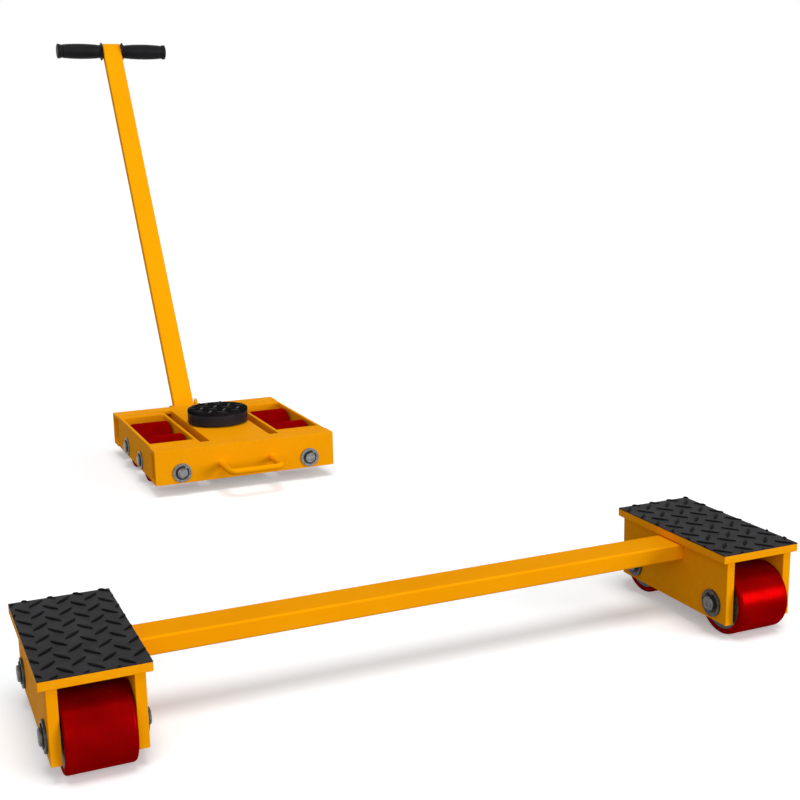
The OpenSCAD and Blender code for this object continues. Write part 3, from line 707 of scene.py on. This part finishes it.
# Tie bar: a flat rectangular steel tube that slides in the slots of the two
# rear trucks, sprayed with the same enamel.
TUBE_EDGE = 0.3 * MM
softened("tie_bar", "tie_bar", enamel, TUBE_EDGE)


# Pull handle: a flat steel tube on a pivot bush, a cross bar through its top
# and two moulded rubber grips. The tube's corners are round in the solid.
GRIP_BLACK = (0.008, 0.0075, 0.0085, 1.0)
GRIP_GREY = (0.013, 0.012, 0.0135, 1.0)
GRIP_FLANGE = ((0, 7.1), (0, 19.5), (1.4, 21.6), (2.6, 22.7), (3.8, 21.2), (5.2, 17.6))
GRIP_INNER_GROOVE = ((6.2, 16.6), (9.4, 16.5), (9.9, 15.8), (11.3, 15.8), (11.8, 16.9))
GRIP_BELLY_START = 20
GRIP_BELLY_STEP = 12
GRIP_BELLY_RADII = (17.6, 18.4, 18.8, 18.95, 18.8, 18.4, 17.6)
GRIP_OUTER_GROOVE = ((100.4, 16.9), (100.9, 15.8), (102.3, 15.8), (102.8, 16.6), (106.6, 16.7))
GRIP_END_BEAD = (
    (107.4, 17.8), (108.4, 18.3), (112.2, 18.3), (113.8, 17.4), (114.5, 15.8), (114.5, 0),
)
softened("handle_tube", "handle", enamel, width=0)
softened("handle_crossbar", "handle", enamel, TUBE_EDGE)
grip_rubber = moulded_rubber("grip_rubber", GRIP_BLACK, GRIP_GREY, shine=0.08, roughness=0.36)
low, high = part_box("handle_grips")
middle = (low + high) / 2
grip_start = (high.x - low.x) / 2 - GRIP_END_BEAD[-1][0] * MM
belly = [
    (GRIP_BELLY_START + i * GRIP_BELLY_STEP, radius) for i, radius in enumerate(GRIP_BELLY_RADII)
]
outline = [*GRIP_FLANGE, *GRIP_INNER_GROOVE, *belly, *GRIP_OUTER_GROOVE, *GRIP_END_BEAD]
outline = [(along * MM, radius * MM) for along, radius in outline]
for side, sign in SIDES.items():
    start = middle + Vector((sign * grip_start, 0, 0))
    work = turned(outline, start, (sign, 0, 0))
    bmesh.ops.holes_fill(work, edges=work.edges, sides=0)
    bmesh.ops.recalc_face_normals(work, faces=work.faces)
    made = piece("grip_" + side, work, "handle", grip_rubber)
    if side == "left":
        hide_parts("handle_grips")


# Studio: a white floor under a white surround, three broad lamps from the
# front right, the front left and above, and the camera.
FLOOR_SIZE = 60
FLOOR_WHITE = (0.95, 0.97, 0.98, 1.0)
FLOOR_GLOW = (0.27, 0.27, 0.27, 1.0)
FLOOR_DIM = (0.28, 0.28, 0.28, 1.0)
SURROUND_WHITE = (1.0, 1.0, 1.0, 1.0)
SURROUND_FILL = 0.27
CAMERA_AT = Vector((-617.97, -2279.66, 650.3)) * MM
CAMERA_YAW = 0.4126
CAMERA_PITCH = 0.2042
CAMERA_ROLL = -0.0189
FOCAL_PIXELS = 1231.45
PHOTO_PIXELS = 800
SENSOR_WIDTH = 36.0


def either(first, second):
    return first.math("MAXIMUM", first, second)


def seen_directly(rays):
    """1 where the camera, a gloss or a clear piece looks at the surround, else 0."""
    mirrored = either(rays["Is Glossy Ray"], rays["Is Transmission Ray"])
    return either(mirrored, rays["Is Camera Ray"])


def studio_floor():
    """A floor that looks white but throws little light back on the set."""
    bpy.ops.mesh.primitive_plane_add(size=FLOOR_SIZE, location=(0, 0, 0))
    floor = bpy.context.object
    floor.name = "studio_floor"
    material = bpy.data.materials.new("white_floor")
    material.use_nodes = True
    tree = Tree(material.node_tree)
    material.node_tree.nodes.clear()
    rays = tree.node("ShaderNodeLightPath")
    seen = seen_directly(rays)
    lit = tree.node("ShaderNodeBsdfDiffuse", {}, {"Color": FLOOR_WHITE})["BSDF"]
    sockets = {"Color": FLOOR_GLOW, "Strength": 1.0}
    glow = tree.node("ShaderNodeEmission", {}, sockets)["Emission"]
    white = tree.node("ShaderNodeAddShader", {}, {0: lit, 1: glow})["Shader"]
    dim = tree.node("ShaderNodeBsdfDiffuse", {}, {"Color": FLOOR_DIM})["BSDF"]
    mixed = tree.node("ShaderNodeMixShader", {}, {0: seen, 1: dim, 2: white})["Shader"]
    tree.node("ShaderNodeOutputMaterial", {}, {"Surface": mixed})
    floor.data.materials.append(material)


def studio_surround():
    """A surround that looks white but gives the set only a soft fill."""
    world = bpy.data.worlds.new("white_surround")
    world.use_nodes = True
    world.node_tree.nodes.clear()
    tree = Tree(world.node_tree)
    rays = tree.node("ShaderNodeLightPath")
    seen = seen_directly(rays)
    fill, white = (
        tree.node("ShaderNodeBackground", {}, {"Color": SURROUND_WHITE, "Strength": strength})
        for strength in (SURROUND_FILL, 1.0)
    )
    sockets = {0: seen, 1: fill["Background"], 2: white["Background"]}
    mixed = tree.node("ShaderNodeMixShader", {}, sockets)["Shader"]
    tree.node("ShaderNodeOutputWorld", {}, {"Surface": mixed})
    scene.world = world


def lamp(name, towards, power, angle, glossy=True):
    """A far lamp that stands in one direction from the set and shines on it."""
    light = bpy.data.lights.new(name, "SUN")
    light.energy = power
    light.angle = math.radians(angle)
    made = bpy.data.objects.new(name, light)
    made.visible_glossy = glossy
    made.location = towards
    made.rotation_euler = Vector(towards).to_track_quat("Z", "Y").to_euler()
    scene.collection.objects.link(made)


def studio_camera():
    """The camera where the photograph was taken from, its angles in radians."""
    forward = Vector((
        math.sin(CAMERA_YAW) * math.cos(CAMERA_PITCH),
        math.cos(CAMERA_YAW) * math.cos(CAMERA_PITCH),
        -math.sin(CAMERA_PITCH),
    ))
    level = Vector((math.cos(CAMERA_YAW), -math.sin(CAMERA_YAW), 0.0))
    upright = level.cross(forward)
    right = math.cos(CAMERA_ROLL) * level + math.sin(CAMERA_ROLL) * upright
    up = math.cos(CAMERA_ROLL) * upright - math.sin(CAMERA_ROLL) * level
    lens = bpy.data.cameras.new("studio_camera")
    lens.sensor_width = SENSOR_WIDTH
    lens.lens = FOCAL_PIXELS / PHOTO_PIXELS * SENSOR_WIDTH
    camera = bpy.data.objects.new("studio_camera", lens)
    turn = Matrix((right, up, -forward)).transposed()
    camera.matrix_world = Matrix.Translation(CAMERA_AT) @ turn.to_4x4()
    scene.collection.objects.link(camera)
    scene.camera = camera


studio_floor()
studio_surround()
lamp("key_lamp", towards=(2.44, -3.08, 0.85), power=1.6, angle=28)
lamp("left_lamp", towards=(-1.8, -3.0, 1.1), power=0.9, angle=60)
lamp("overhead_lamp", towards=(0.0, -1.0, 4.0), power=1.3, angle=30, glossy=False)
studio_camera()
scene.view_settings.view_transform = "Standard"
